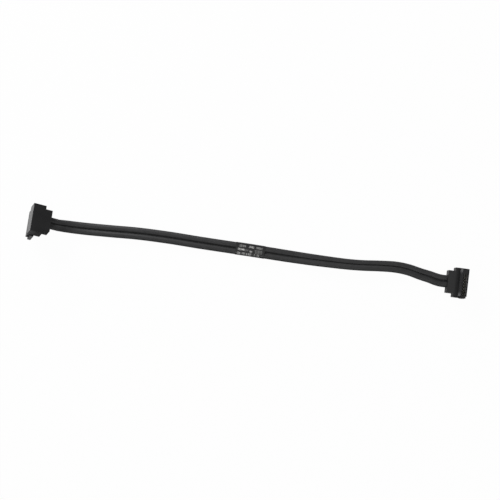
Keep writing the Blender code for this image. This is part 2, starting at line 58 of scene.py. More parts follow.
def addCamera(values):
    raised = math.radians(values["elevation"])
    turn = Matrix.Rotation(math.radians(values["azimuth"]), 3, "Z")
    forward = turn @ Vector((0, math.cos(raised), -math.sin(raised)))
    right = turn @ Vector((1, 0, 0))
    up = right.cross(forward)
    data = bpy.data.cameras.new("photoCamera")
    data.lens = values["lens"]
    data.sensor_width = values["sensor"]
    data.clip_start, data.clip_end = values["clip"]
    camera = bpy.data.objects.new("photoCamera", data)
    scene.collection.objects.link(camera)
    place = Vector(values["aim"]) - forward * values["distance"]
    facing = Matrix((right, up, -forward)).transposed().to_4x4()
    camera.matrix_world = Matrix.Translation(place) @ facing
    scene.camera = camera


addCamera(cameraValues)
print("camera placed")


# Helpers for objects and meshes
def addObject(name, data):
    thing = bpy.data.objects.new(name, data)
    scene.collection.objects.link(thing)
    return thing


def dropObject(thing):
    bpy.data.objects.remove(thing, do_unlink=True)


def meshOf(thing):
    # the object with all its modifiers, as a mesh of its own
    bpy.context.view_layer.update()
    graph = bpy.context.evaluated_depsgraph_get()
    made = thing.evaluated_get(graph)
    return bpy.data.meshes.new_from_object(made, preserve_all_data_layers=True, depsgraph=graph)


def closeShape(shape, name):
    # a bmesh with its faces turned outward, as an object
    bmesh.ops.recalc_face_normals(shape, faces=shape.faces)
    mesh = bpy.data.meshes.new(name)
    shape.to_mesh(mesh)
    shape.free()
    return addObject(name, mesh)


def prism(outline, low, high, plane="xy"):
    # a closed outline in one plane, pushed from low to high across it
    spot = {
        "xy": lambda a, b, across: (a, b, across),
        "xz": lambda a, b, across: (a, across, b),
        "yz": lambda a, b, across: (across, a, b),
    }[plane]
    shape = bmesh.new()
    face = shape.faces.new([shape.verts.new(spot(a, b, low)) for a, b in outline])
    pushed = bmesh.ops.extrude_face_region(shape, geom=[face])
    moved = [item for item in pushed["geom"] if isinstance(item, bmesh.types.BMVert)]
    bmesh.ops.translate(shape, verts=moved, vec=spot(0, 0, high - low))
    return closeShape(shape, "prism")


def box(lowX, highX, lowY, highY, lowZ, highZ):
    return prism([(lowX, lowY), (highX, lowY), (highX, highY), (lowX, highY)], lowZ, highZ)


def roundEdges(thing, radius, segments, angle=40):
    bevel = thing.modifiers.new("rounded edges", "BEVEL")
    bevel.width = radius
    bevel.segments = segments
    bevel.limit_method = "ANGLE"
    bevel.angle_limit = math.radians(angle)
    bevel.use_clamp_overlap = True


def combine(thing, other, operation):
    modifier = thing.modifiers.new(operation.lower(), "BOOLEAN")
    modifier.operation = operation
    modifier.solver = "EXACT"
    modifier.object = other


def smooth(mesh, sharpAngle):
    mesh.shade_smooth()
    mesh.set_sharp_from_angle(angle=math.radians(sharpAngle))


def finishMesh(thing, sharpAngle=35):
    # modifiers applied, flat faces kept flat and rounded edges smooth
    mesh = meshOf(thing)
    used = [modifier.object for modifier in thing.modifiers if modifier.type == "BOOLEAN"]
    name = thing.name
    dropObject(thing)
    for other in used:
        dropObject(other)
    smooth(mesh, sharpAngle)
    shaded = addObject(name, mesh)
    weighted = shaded.modifiers.new("even shading", "WEIGHTED_NORMAL")
    weighted.keep_sharp = True
    finished = meshOf(shaded)
    dropObject(shaded)
    return finished


def keepPlaces(mesh):
    # where each point is on the plug itself, for the materials
    layer = mesh.attributes.new("moldPlace", "FLOAT_VECTOR", "POINT")
    for point, entry in zip(mesh.vertices, layer.data):
        entry.vector = point.co


# Route of the lead, and where the two plugs stand
plugPlaces = {
    "left": {
        "entry": (-88.2, 1.4, 8.679),  # of the lead into the collar, in mm
        "yaw": 4.1,  # degrees
        "tilt": 25.8,
        "roll": 19.0,
        "turnedOver": True,
    },
    "right": {"entry": (91.4, 0.9, 0.0), "yaw": 1.0, "tilt": 0.0, "roll": 0.0, "turnedOver": False},
}

leadValues = {
    "width": 0.0056,
    "thickness": 0.0023,
    "web": 0.0005,
    "webWidth": 0.00016,  # flat bottom of the groove
    "length": 0.1854,  # from inside one collar to inside the other
    "seat": 0.0017,  # how far each end goes into its collar
    "leaves": (-0.0028, -0.0042),  # first points of the line out of a collar
    "level": 0.0026,  # of its middle over a plug's back
    "fineStep": 0.1 * mm,
    "spacing": 0.0008,  # of the sections along it
    "easedFrom": 81.0 * mm,  # x of the stretch before the right collar
    "easedTo": 90.3 * mm,
    "easedReach": 2.4 * mm,  # how far each of its points looks
    "route": [  # x, y, z in metres and the roll in degrees
        (-0.0820, 0.00035, 0.00315, 9),
        (-0.0778, 0.00048, 0.00200, 3),
        (-0.0714, 0.00074, 0.00140, 0),
        (-0.0614, 0.00130, 0.00125, 0),
        (-0.0494, 0.00200, 0.00125, 0),
        (-0.0354, 0.00220, 0.00125, 0),
        (-0.0214, 0.00200, 0.00130, 0),
        (-0.0074, 0.00195, 0.00140, 0),
        (0.0016, 0.00195, 0.00140, 0),
        (0.0106, 0.00185, 0.00142, 4),
        (0.0206, 0.00175, 0.00152, 12),
        (0.0316, 0.00175, 0.00178, 22),
        (0.0446, 0.00200, 0.00202, 32),
        (0.0526, 0.00250, 0.00208, 34),
        (0.0606, 0.00340, 0.00205, 32),
        (0.0676, 0.00395, 0.00195, 26),
        (0.0736, 0.00362, 0.00190, 23),
        (0.0796, 0.00244, 0.00200, 17),
        (0.0846, 0.00162, 0.00235, 9),
    ],
}


def plugMatrix(place):
    turn = Matrix.Rotation(math.radians(place["yaw"]), 4, "Z")
    turn = turn @ Matrix.Rotation(math.radians(-place["roll"]), 4, "X")
    turn = turn @ Matrix.Rotation(math.radians(place["tilt"]), 4, "Y")
    if place["turnedOver"]:
        turn = turn @ Matrix.Rotation(math.pi, 4, "Y")
    return Matrix.Translation(Vector(place["entry"]) * mm) @ turn


plugMatrices = {side: plugMatrix(place) for side, place in plugPlaces.items()}


def rollAtPlug(matrix, turnedOver):
    sense = -1 if turnedOver else 1
    along = matrix.to_3x3() @ Vector((sense, 0, 0))
    outward = matrix.to_3x3() @ Vector((0, 0, sense))
    level = (Vector((0, 0, 1)) - along * along.z).normalized()
    return math.atan2(outward.dot(along.cross(level)), outward.dot(level))


def splineThrough(points, samples=24):
    line = []
    last = len(points) - 1
    for at in range(last):
        near = [points[max(at - 1, 0)], points[at], points[at + 1], points[min(at + 2, last)]]
        for step in range(samples):
            t = step / samples
            spot = []
            for a, b, c, d in zip(*near):
                curve = (
                    2 * b
                    + (c - a) * t
                    + (2 * a - 5 * b + 4 * c - d) * t * t
                    + (3 * b - a - 3 * c + d) * t ** 3
                )
                spot.append(curve / 2)
            line.append(tuple(spot))
    line.append(tuple(points[-1]))
    return line


def evenLine(line, spacing):
    reached = [0.0]
    for a, b in zip(line, line[1:]):
        reached.append(reached[-1] + math.dist(a[:3], b[:3]))
    count = round(reached[-1] / spacing)
    result = []
    at = 0
    for step in range(count + 1):
        wanted = reached[-1] * step / count
        while at < len(line) - 2 and reached[at + 1] < wanted:
            at += 1
        share = (wanted - reached[at]) / (reached[at + 1] - reached[at])
        result.append(tuple(a + (b - a) * share for a, b in zip(line[at], line[at + 1])))
    return result


def leadLine(values):
    # x, y, z and roll from inside the left collar to inside the right one
    left = plugMatrices["left"]
    right = plugMatrices["right"]
    ends = [(x, 0, values["level"]) for x in (values["seat"], *values["leaves"])]
    points = []
    for end in ends:
        points.append((*(left @ Vector(end)), rollAtPlug(left, True)))
    for x, y, z, roll in values["route"]:
        points.append((x, y, z, math.radians(-roll)))
    for end in reversed(ends):
        points.append((*(right @ Vector(end)), rollAtPlug(right, False)))
    return splineThrough(points)


def easedLine(line, values):
    # rounds the turn just before the right collar, by 0.2 mm at most
    reach = values["easedReach"]
    result = []
    for spot in line:
        inside = min(spot[0] - values["easedFrom"], values["easedTo"] - spot[0]) / mm
        inside = min(max(inside, 0.0), 1.0)
        if inside > 0:
            near = [other for other in line if math.dist(other[:3], spot[:3]) <= reach]
            mean = [sum(numbers) / len(near) for numbers in zip(*near)]
            spot = tuple(a + (b - a) * inside for a, b in zip(spot, mean))
        result.append(spot)
    return result


fineLine = easedLine(evenLine(leadLine(leadValues), leadValues["fineStep"]), leadValues)
print("lead's line worked out")


# Shader node helpers and groups
def nodeIn(tree, kind, place=(0, 0), **settings):
    node = tree.nodes.new(kind)
    node.location = place
    for key, value in settings.items():
        setattr(node, key, value)
    return node


def feed(tree, socket, value):
    # a colour, a number or another node's output into a socket
    if isinstance(value, tuple):
        socket.default_value = (*value, 1.0)
    elif isinstance(value, (int, float)):
        socket.default_value = value
    else:
        tree.links.new(value, socket)


def mathNode(tree, operation, first, second=0.0, place=(0, 0)):
    node = nodeIn(tree, "ShaderNodeMath", place, operation=operation)
    feed(tree, node.inputs[0], first)
    feed(tree, node.inputs[1], second)
    return node.outputs[0]


def mixColours(tree, share, first, second, place=(0, 0)):
    node = nodeIn(tree, "ShaderNodeMix", place, data_type="RGBA")
    for number, value in ((0, share), (6, first), (7, second)):
        feed(tree, node.inputs[number], value)
    return node.outputs[2]


def splitPlace(tree, vector, place=(0, 0)):
    node = nodeIn(tree, "ShaderNodeSeparateXYZ", place)
    tree.links.new(vector, node.inputs[0])
    return node.outputs


def scaledPlace(tree, vector, factors, place=(0, 0)):
    node = nodeIn(tree, "ShaderNodeVectorMath", place, operation="MULTIPLY")
    node.inputs[1].default_value = factors
    tree.links.new(vector, node.inputs[0])
    return node.outputs[0]


def mapRange(tree, value, fromLow, fromHigh, toLow, toHigh, place=(0, 0), smooth=False):
    node = nodeIn(tree, "ShaderNodeMapRange", place)
    node.interpolation_type = "SMOOTHSTEP" if smooth else "LINEAR"
    tree.links.new(value, node.inputs[0])
    for socket, number in zip(node.inputs[1:5], (fromLow, fromHigh, toLow, toHigh)):
        socket.default_value = number
    return node.outputs[0]


def noiseNode(tree, vector, scale, detail=3.0, place=(0, 0)):
    node = nodeIn(tree, "ShaderNodeTexNoise", place)
    tree.links.new(vector, node.inputs["Vector"])
    node.inputs["Scale"].default_value = scale
    node.inputs["Detail"].default_value = detail
    return node.outputs[0]


def newGroup(name, inputs, outputs):
    tree = bpy.data.node_groups.new(name, "ShaderNodeTree")
    for label, kind, value in inputs:
        socket = tree.interface.new_socket(label, in_out="INPUT", socket_type="NodeSocket" + kind)
        if value is not None:
            socket.default_value = value
    for label in outputs:
        tree.interface.new_socket(label, in_out="OUTPUT", socket_type="NodeSocketFloat")
    entry = nodeIn(tree, "NodeGroupInput", (-900, 0))
    return tree, entry, nodeIn(tree, "NodeGroupOutput", (600, 0))


grainValues = {
    "detail": 4,
    "roughness": 0.65,
    "slowScale": 160.0,
    "scuffStretch": (1.0, 0.18, 1.0),
    "scuffDetail": 5,
    "scuffRange": (0.56, 0.72),
}


def moldedGrainGroup(values):
    # spark-eroded grain, slow unevenness of the moulding and a few scuffs
    inputs = [
        ("Place", "Vector", None),
        ("Grain Scale", "Float", 9000.0),
        ("Scuff Scale", "Float", 420.0),
    ]
    tree, entry, leave = newGroup("moldedGrain", inputs, ("Height", "Unevenness", "Scuffs"))
    place = entry.outputs["Place"]
    grain = nodeIn(tree, "ShaderNodeTexNoise", (-500, 200))
    tree.links.new(place, grain.inputs["Vector"])
    tree.links.new(entry.outputs["Grain Scale"], grain.inputs["Scale"])
    grain.inputs["Detail"].default_value = values["detail"]
    grain.inputs["Roughness"].default_value = values["roughness"]
    slow = noiseNode(tree, place, values["slowScale"], 2.0, (-500, -50))
    scuff = nodeIn(tree, "ShaderNodeTexNoise", (-500, -300))
    drawn = scaledPlace(tree, place, values["scuffStretch"], (-700, -300))
    tree.links.new(drawn, scuff.inputs["Vector"])
    tree.links.new(entry.outputs["Scuff Scale"], scuff.inputs["Scale"])
    scuff.inputs["Detail"].default_value = values["scuffDetail"]
    scuffs = mapRange(tree, scuff.outputs[0], *values["scuffRange"], 0, 1, (-200, -300))
    tree.links.new(grain.outputs[0], leave.inputs["Height"])
    tree.links.new(slow, leave.inputs["Unevenness"])
    tree.links.new(scuffs, leave.inputs["Scuffs"])
    return tree


def barGroup(softness=0.03):
    # one printed bar: its strength inside a rectangle about a centre, soft at its edge
    inputs = [
        ("Place", "Vector", None),
        ("Centre X", "Float", 0.0),
        ("Centre Y", "Float", 0.0),
        ("Length", "Float", 1.0),
        ("Height", "Float", 1.0),
        ("Strength", "Float", 1.0),
    ]
    tree, entry, leave = newGroup("printedBar", inputs, ("Mask",))
    split = splitPlace(tree, entry.outputs["Place"], (-700, 200))
    sides = []
    for axis, centre, size in ((0, "Centre X", "Length"), (1, "Centre Y", "Height")):
        level = 200 - 250 * axis
        away = mathNode(tree, "SUBTRACT", split[axis], entry.outputs[centre], (-500, level))
        away = mathNode(tree, "ABSOLUTE", away, 0.0, (-350, level))
        half = mathNode(tree, "MULTIPLY", entry.outputs[size], 0.5, (-500, level - 120))
        spare = mathNode(tree, "SUBTRACT", half, away, (-200, level))
        sides.append(mapRange(tree, spare, -softness, softness, 0, 1, (-50, level), smooth=True))
    inside = mathNode(tree, "MULTIPLY", sides[0], sides[1], (200, 0))
    mask = mathNode(tree, "MULTIPLY", inside, entry.outputs["Strength"], (350, 0))
    tree.links.new(mask, leave.inputs["Mask"])
    return tree


moldedGrain = moldedGrainGroup(grainValues)
printedBar = barGroup()


def newMaterial(name):
    material = bpy.data.materials.new(name)
    material.use_nodes = True
    tree = material.node_tree
    return material, tree, tree.nodes["Principled BSDF"]


def placeFrom(tree, attribute=None, place=(-1300, 0)):
    if attribute:
        node = nodeIn(tree, "ShaderNodeAttribute", place)
        node.attribute_name = attribute
        return node.outputs["Vector"]
    return nodeIn(tree, "ShaderNodeTexCoord", place).outputs["Object"]


def addBump(tree, shader, height, strength, distance, place=(-300, -400)):
    bump = nodeIn(tree, "ShaderNodeBump", place)
    bump.inputs["Strength"].default_value = strength
    bump.inputs["Distance"].default_value = distance
    tree.links.new(height, bump.inputs["Height"])
    tree.links.new(bump.outputs[0], shader.inputs["Normal"])


# Its paler, duller and glossier faces follow the tones in the photograph: the paler ones are painted
# light, as painted light in the slot, a painted reflection on the nose's rear face and a painted
# highlight on the far end
plugPlasticValues = {
    "colour": (0.008, 0.008, 0.0085),
    "paleColour": (0.0115, 0.0115, 0.012),
    "roughness": (0.24, 0.34),
    "specular": 0.4,
    "grainScale": 7000.0,
    "grainDepth": 0.000012,
    "scuffScale": 500.0,
    "scuffShare": 0.45,
    "unevenRange": (0.35, 0.65),
    "slotPaintedLight": (0.4, 0.4, 0.385),  # painted light on the walls inside the slot, far paler than the plastic
    "slotFades": (9.0 * mm, 10.1 * mm),  # heights between which it ends at the mouth
    "slotBegins": (4.8 * mm, 4.9 * mm),  # and at the floor
    "slotMiddle": (6.6 * mm, -0.92 * mm),
    "slotReach": (0.98 * mm, 4.95 * mm),  # to either side of its middle
    "rearFace": 5.2 * mm,  # the nose's face toward the lead, with a painted reflection that is palest at its ends
    "rearAbove": (5.15 * mm, 5.25 * mm),  # the height of the cover, where it begins
    # painted reflection on the nose's rear face, paler toward its ends
    "rearPaintedReflection": (0.03, 0.03, 0.031),
    "rearEndPaintedReflection": (0.12, 0.12, 0.122),
    "rearEnds": (4.0 * mm, 5.4 * mm),
    "shoulderTop": 5.2 * mm,  # the cover's top
    "shoulderSpan": (3.2 * mm, 3.9 * mm),  # where its duller part begins
    "shoulderGloss": 0.72,
    "mouthFace": 10.4 * mm,
    "mouthGloss": 0.75,
    "sideFaces": (6.7 * mm, 5.1 * mm, 6.27 * mm, 6.07 * mm),  # how far out they lie
    "sideRoughness": 0.54,
    "sideSpan": (5.6 * mm, 8.6 * mm),
    "sideSpecular": (0.1, 0.42),  # from the lead's end to the far end
    "endFace": 8.8 * mm,
    "endSpecular": 0.9,
    # painted highlight on the far end face
    "endPaintedHighlight": (0.06, 0.06, 0.06),
}


def offZero(tree, place, axis):
    # how far a point of the plug lies from its zero along one axis
    return mathNode(tree, "ABSOLUTE", splitPlace(tree, place, (-1100, 900))[axis], 0.0, (-950, 900))


def onFaces(tree, place, axis, *values):
    # 1 on the faces of the plug that lie at one of the values of an axis
    spot = offZero(tree, place, axis)
    mask = None
    for value in values:
        away = mathNode(tree, "SUBTRACT", spot, value, (-850, 900))
        away = mathNode(tree, "ABSOLUTE", away, 0.0, (-750, 900))
        near = mapRange(tree, away, 0.01 * mm, 0.03 * mm, 1, 0, (-600, 900))
        mask = near if mask is None else mathNode(tree, "MAXIMUM", mask, near, (-450, 900))
    return mask


def insideSlot(tree, place, values, soft=0.03 * mm):
    # 1 on the walls inside the slot of the mouth, where light is painted
    split = splitPlace(tree, place, (-1100, 500))
    below = mapRange(tree, split[2], *values["slotFades"], 1, 0, (-800, 700))
    above = mapRange(tree, split[2], *values["slotBegins"], 0, 1, (-800, 850))
    mask = mathNode(tree, "MULTIPLY", below, above, (-650, 750))
    for axis, middle, reach in zip((0, 1), values["slotMiddle"], values["slotReach"]):
        away = mathNode(tree, "SUBTRACT", split[axis], middle, (-900, 500))
        away = mathNode(tree, "ABSOLUTE", away, 0.0, (-800, 500))
        near = mapRange(tree, away, reach - soft, reach + soft, 1, 0, (-650, 500))
        mask = mathNode(tree, "MULTIPLY", mask, near, (-500, 600))
    return mask


def plugColour(tree, place, share, end, values):
    outside = mixColours(tree, share, values["colour"], values["paleColour"], (-350, 200))
    # painted light on the walls inside the slot
    inside = insideSlot(tree, place, values)
    colour = mixColours(tree, inside, outside, values["slotPaintedLight"], (-200, 300))
    # painted reflection on the nose's rear face above the cover, palest at its ends
    above = mapRange(tree, offZero(tree, place, 2), *values["rearAbove"], 0, 1, (-500, 700))
    rear = onFaces(tree, place, 0, values["rearFace"])
    rear = mathNode(tree, "MULTIPLY", rear, above, (-300, 700))
    far = mapRange(tree, offZero(tree, place, 1), *values["rearEnds"], 0, 1, (-400, 600))
    pale = mixColours(tree, far, values["rearPaintedReflection"], values["rearEndPaintedReflection"], (-200, 600))
    colour = mixColours(tree, rear, colour, pale, (-100, 400))
    # painted highlight on the far end face
    return mixColours(tree, end, colour, values["endPaintedHighlight"], (0, 400))


def plugGloss(tree, place, sides, end, values):
    along = offZero(tree, place, 0)
    onSides = mapRange(tree, along, *values["sideSpan"], *values["sideSpecular"], (-800, -250))
    onSides = mathNode(tree, "MULTIPLY", sides, onSides, (-600, -300))
    elsewhere = mapRange(tree, sides, 0, 1, values["specular"], 0, (-600, -200))
    gloss = mathNode(tree, "ADD", elsewhere, onSides, (-400, -250))
    top = onFaces(tree, place, 2, values["shoulderTop"])
    beyond = mapRange(tree, along, *values["shoulderSpan"], 0, 1, (-800, -500))
    shoulder = mathNode(tree, "MULTIPLY", top, beyond, (-700, -500))
    mouth = onFaces(tree, place, 2, values["mouthFace"])
    for part, factor in ((shoulder, values["shoulderGloss"]), (mouth, values["mouthGloss"])):
        duller = mapRange(tree, part, 0, 1, 1, factor, (-600, -600))
        gloss = mathNode(tree, "MULTIPLY", gloss, duller, (-400, -500))
    glossyEnd = mathNode(tree, "MULTIPLY", end, values["endSpecular"], (-400, -400))
    return mathNode(tree, "MAXIMUM", gloss, glossyEnd, (-200, -300))


def plugPlasticMaterial(name, values):
    material, tree, shader = newMaterial(name)
    place = placeFrom(tree, "moldPlace")
    grain = nodeIn(tree, "ShaderNodeGroup", (-1000, 0))
    grain.node_tree = moldedGrain
    tree.links.new(place, grain.inputs["Place"])
    grain.inputs["Grain Scale"].default_value = values["grainScale"]
    grain.inputs["Scuff Scale"].default_value = values["scuffScale"]
    uneven = mapRange(tree, grain.outputs["Unevenness"], *values["unevenRange"], 0, 1, (-750, 0))
    uneven = mathNode(tree, "MULTIPLY", uneven, 0.5, (-600, 0))
    scuffs = grain.outputs["Scuffs"]
    scuffs = mathNode(tree, "MULTIPLY", scuffs, values["scuffShare"], (-750, -200))
    share = mathNode(tree, "MAXIMUM", uneven, scuffs, (-450, 0))
    sides = onFaces(tree, place, 1, *values["sideFaces"])
    end = onFaces(tree, place, 0, values["endFace"])
    plain = mapRange(tree, share, 0, 0.5, *values["roughness"], (-400, 0))
    textured = mathNode(tree, "MULTIPLY", sides, values["sideRoughness"], (-400, -100))
    roughness = mathNode(tree, "MAXIMUM", plain, textured, (-200, -50))
    tree.links.new(plugColour(tree, place, share, end, values), shader.inputs["Base Color"])
    tree.links.new(roughness, shader.inputs["Roughness"])
    tree.links.new(plugGloss(tree, place, sides, end, values), shader.inputs["Specular IOR Level"])
    addBump(tree, shader, grain.outputs["Height"], 0.5, values["grainDepth"])
    return material


jacketValues = {
    "colour": (0.0125, 0.0125, 0.0132),
    "paleColour": (0.0175, 0.0175, 0.0184),
    "roughness": (0.5, 0.6),
    "specular": 0.4,
    "lineStretch": (0.02, 1.0, 1.0),  # along the lead, and around it
    "lineScale": 5200.0,
    "lineDepth": 0.00001,
    "swellScale": 260.0,
    "bloomScale": 1500.0,
    "range": (0.35, 0.65),
}


def jacketMaterial(values):
    # soft extruded plastic: fine lines along it, slow swells, a dusty bloom
    material, tree, shader = newMaterial("leadJacket")
    around = placeFrom(tree, "leadPlace")
    stretched = scaledPlace(tree, around, values["lineStretch"], (-1100, 200))
    drawn = noiseNode(tree, stretched, values["lineScale"], 3.0, (-900, 200))
    swell = noiseNode(tree, around, values["swellScale"], 3.0, (-900, 0))
    bloom = noiseNode(tree, around, values["bloomScale"], 4.0, (-900, -200))
    share = mapRange(tree, swell, *values["range"], 0, 1, (-650, 0))
    colour = mixColours(tree, share, values["colour"], values["paleColour"], (-300, 200))
    tree.links.new(colour, shader.inputs["Base Color"])
    bloomPart = mathNode(tree, "MULTIPLY", bloom, 0.6, (-650, -200))
    drawnPart = mathNode(tree, "MULTIPLY", drawn, 0.4, (-650, 200))
    mixed = mathNode(tree, "ADD", bloomPart, drawnPart, (-500, 0))
    roughness = mapRange(tree, mixed, *values["range"], *values["roughness"], (-300, -50))
    tree.links.new(roughness, shader.inputs["Roughness"])
    shader.inputs["Specular IOR Level"].default_value = values["specular"]
    half = mathNode(tree, "MULTIPLY", bloom, 0.5, (-650, -350))
    height = mathNode(tree, "ADD", drawn, half, (-500, -350))
    addBump(tree, shader, height, 0.45, values["lineDepth"])
    return material


labelValues = {
    "length": 13.4 * mm,
    "middle": 1.6 * mm,
    "printShift": -0.3,  # of all bars along the label, in mm
    "wall": 0.06 * mm,
    "gap": 0.05 * mm,  # from the lead to the film
    "spacing": 0.35 * mm,
    "film": (0.0085, 0.0085, 0.009),
    "print": (0.42, 0.42, 0.41),
    "roughness": (0.3, 0.42),
    "specular": 0.4,
    "crinkleScale": 1.1,
    "crinkleDepth": 0.00004,
    "wearScale": 1.7,
    "wearRange": (0.36, 0.62),
    "faintest": 0.12,  # what wear leaves of the print
    # bars of the plain print in mm: middle along and across, length, height, and how strong
    "bars": [
        (-3.4, -1.4, 3.0, 0.95, 0.5),
        (0.75, -1.35, 2.4, 0.95, 0.9),
        (4.2, -1.3, 2.9, 0.95, 0.5),
        (-3.8, 0.2, 3.2, 0.9, 1.0),
        (-1.3, 0.4, 1.6, 0.9, 0.25),
        (0.6, 0.7, 1.2, 0.8, 0.8),
        (4.1, 0.45, 3.4, 1.7, 0.28),
        (-4.8, 2.05, 1.5, 1.05, 0.95),
        (-2.6, 2.05, 1.5, 1.0, 0.8),
        (-1.2, 2.05, 0.6, 0.95, 0.6),
        (0.25, 2.0, 1.5, 0.95, 0.75),
        (2.5, 2.0, 0.5, 0.9, 0.5),
        (4.0, 2.05, 1.1, 0.95, 0.7),
    ],
}


def labelMaterial(values):
    material, tree, shader = newMaterial("labelFilm")
    place = placeFrom(tree, "labelPlace", (-1500, 0))
    mask = None
    for row, sizes in enumerate(values["bars"]):
        level = 400 - 200 * row
        bar = nodeIn(tree, "ShaderNodeGroup", (-1200, level))
        bar.node_tree = printedBar
        tree.links.new(place, bar.inputs["Place"])
        for label, number in zip(("Centre X", "Centre Y", "Length", "Height", "Strength"), sizes):
            bar.inputs[label].default_value = number
        bar.inputs["Centre X"].default_value = sizes[0] + values["printShift"]
        own = bar.outputs[0]
        mask = own if mask is None else mathNode(tree, "MAXIMUM", mask, own, (-950, level))
    wear = noiseNode(tree, place, values["wearScale"], 2.0, (-1200, 800))
    kept = mapRange(tree, wear, *values["wearRange"], values["faintest"], 1.0, (-950, 800))
    depth = splitPlace(tree, place, (-1200, 600))[2]  # below 0 on the upper side
    upperSide = mapRange(tree, depth, -0.2, 0.0, 1, 0, (-950, 600))
    inked = mathNode(tree, "MULTIPLY", mask, kept, (-750, 300))
    inked = mathNode(tree, "MULTIPLY", inked, upperSide, (-600, 300))
    colour = mixColours(tree, inked, values["film"], values["print"], (-300, 200))
    tree.links.new(colour, shader.inputs["Base Color"])
    crinkle = noiseNode(tree, place, values["crinkleScale"], 3.0, (-900, -200))
    roughness = mapRange(tree, crinkle, 0.3, 0.7, *values["roughness"], (-300, -50))
    tree.links.new(roughness, shader.inputs["Roughness"])
    shader.inputs["Specular IOR Level"].default_value = values["specular"]
    thickInk = mathNode(tree, "MULTIPLY", inked, 0.08, (-600, -350))
    height = mathNode(tree, "ADD", crinkle, thickInk, (-450, -350))
    addBump(tree, shader, height, 0.4, values["crinkleDepth"])
    return material


contactValues = {
    "bright": (0.34, 0.33, 0.285),
    "dull": (0.24, 0.232, 0.2),
    "roughness": (0.45, 0.6),
    "scale": 5000.0,
    "stretch": (1, 1, 0.15),  # streaks along the strip
}

drainValues = {
    "bright": (0.74, 0.72, 0.69),
    "dull": (0.5, 0.49, 0.47),
    "roughness": (0.28, 0.45),
    "scale": 4000.0,
    "stretch": (0.2, 1, 1),
}

coreValues = {
    "dark": (0.5, 0.51, 0.54),
    "pale": (0.72, 0.73, 0.76),
    "roughness": (0.3, 0.55),
    "scale": 3500.0,
    "depth": 0.00003,
}


def metalMaterial(name, values, attribute=None):
    # drawn or rolled metal: streaks along one direction
    material, tree, shader = newMaterial(name)
    shader.inputs["Metallic"].default_value = 1.0
    place = placeFrom(tree, attribute)
    drawn = scaledPlace(tree, place, values["stretch"], (-1100, 0))
    streaks = noiseNode(tree, drawn, values["scale"], 4.0, (-900, 0))
    blotches = noiseNode(tree, place, values["scale"] * 0.3, 2.0, (-900, -250))
    both = mathNode(tree, "ADD", streaks, blotches, (-700, 0))
    share = mapRange(tree, both, 0.75, 1.25, 0, 1, (-550, 0))
    colour = mixColours(tree, share, values["bright"], values["dull"], (-300, 200))
    roughness = mapRange(tree, share, 0, 1, *values["roughness"], (-300, -50))
    tree.links.new(colour, shader.inputs["Base Color"])
    tree.links.new(roughness, shader.inputs["Roughness"])
    addBump(tree, shader, streaks, 0.3, 0.000004)
    return material


def coreMaterial(values):
    # foil-wrapped core: crinkled pale grey
    material, tree, shader = newMaterial("coreInsulation")
    crinkle = noiseNode(tree, placeFrom(tree), values["scale"], 4.0, (-900, 0))
    colour = mixColours(tree, crinkle, values["dark"], values["pale"], (-300, 200))
    roughness = mapRange(tree, crinkle, 0.3, 0.7, *values["roughness"], (-300, -50))
    tree.links.new(colour, shader.inputs["Base Color"])
    tree.links.new(roughness, shader.inputs["Roughness"])
    addBump(tree, shader, crinkle, 0.5, values["depth"])
    return material


plugPlastic = plugPlasticMaterial("plugPlastic", plugPlasticValues)
leadJacketFinish = jacketMaterial(jacketValues)
labelFilm = labelMaterial(labelValues)
contactGold = metalMaterial("contactGold", contactValues, "moldPlace")
drainTin = metalMaterial("drainTin", drainValues)
coreInsulation = coreMaterial(coreValues)
print("materials ready")


# Geometry Nodes trees
def newTree(name, inputs):
    tree = bpy.data.node_groups.new(name, "GeometryNodeTree")
    tree.interface.new_socket("Geometry", in_out="INPUT", socket_type="NodeSocketGeometry")
    for label, kind in inputs:
        tree.interface.new_socket(label, in_out="INPUT", socket_type="NodeSocket" + kind)
    tree.interface.new_socket("Geometry", in_out="OUTPUT", socket_type="NodeSocketGeometry")
    entry = nodeIn(tree, "NodeGroupInput", (-1200, 0))
    return tree, entry, nodeIn(tree, "NodeGroupOutput", (900, 0))


def useTree(thing, tree, values):
    modifier = thing.modifiers.new(tree.name, "NODES")
    modifier.node_group = tree
    for item in tree.interface.items_tree:
        if item.in_out == "INPUT" and item.name in values:
            modifier[item.identifier] = values[item.name]


def storedOn(tree, name, kind, geometry, value, place):
    # an attribute kept on each point of the geometry
    keep = nodeIn(tree, "GeometryNodeStoreNamedAttribute", place, data_type=kind, domain="POINT")
    keep.inputs["Name"].default_value = name
    tree.links.new(geometry, keep.inputs["Geometry"])
    tree.links.new(value, keep.inputs["Value"])
    return keep.outputs[0]


def closeTree(tree, geometry, entry, leave):
    # instances made real and given the material
    real = nodeIn(tree, "GeometryNodeRealizeInstances", (100, 0))
    tree.links.new(geometry, real.inputs[0])
    paint = nodeIn(tree, "GeometryNodeSetMaterial", (400, 0))
    tree.links.new(real.outputs[0], paint.inputs["Geometry"])
    tree.links.new(entry.outputs["Material"], paint.inputs["Material"])
    tree.links.new(paint.outputs[0], leave.inputs[0])
    return tree


def sweepTree():
    # a section swept along a curve, with the places along and around it kept
    inputs = [("Section", "Object"), ("Fill Ends", "Bool"), ("Material", "Material")]
    tree, entry, leave = newTree("sweepAlongLead", inputs)
    section = nodeIn(tree, "GeometryNodeObjectInfo", (-900, -200))
    tree.links.new(entry.outputs["Section"], section.inputs["Object"])
    along = nodeIn(tree, "GeometryNodeSplineParameter", (-1100, 300)).outputs["Length"]
    around = nodeIn(tree, "GeometryNodeInputPosition", (-1100, -400)).outputs[0]
    path = storedOn(tree, "along", "FLOAT", entry.outputs["Geometry"], along, (-700, 200))
    outline = section.outputs["Geometry"]
    profile = storedOn(tree, "around", "FLOAT_VECTOR", outline, around, (-700, -200))
    sweep = nodeIn(tree, "GeometryNodeCurveToMesh", (-400, 0))
    tree.links.new(path, sweep.inputs["Curve"])
    tree.links.new(profile, sweep.inputs["Profile Curve"])
    tree.links.new(entry.outputs["Fill Ends"], sweep.inputs["Fill Caps"])
    return closeTree(tree, sweep.outputs[0], entry, leave)


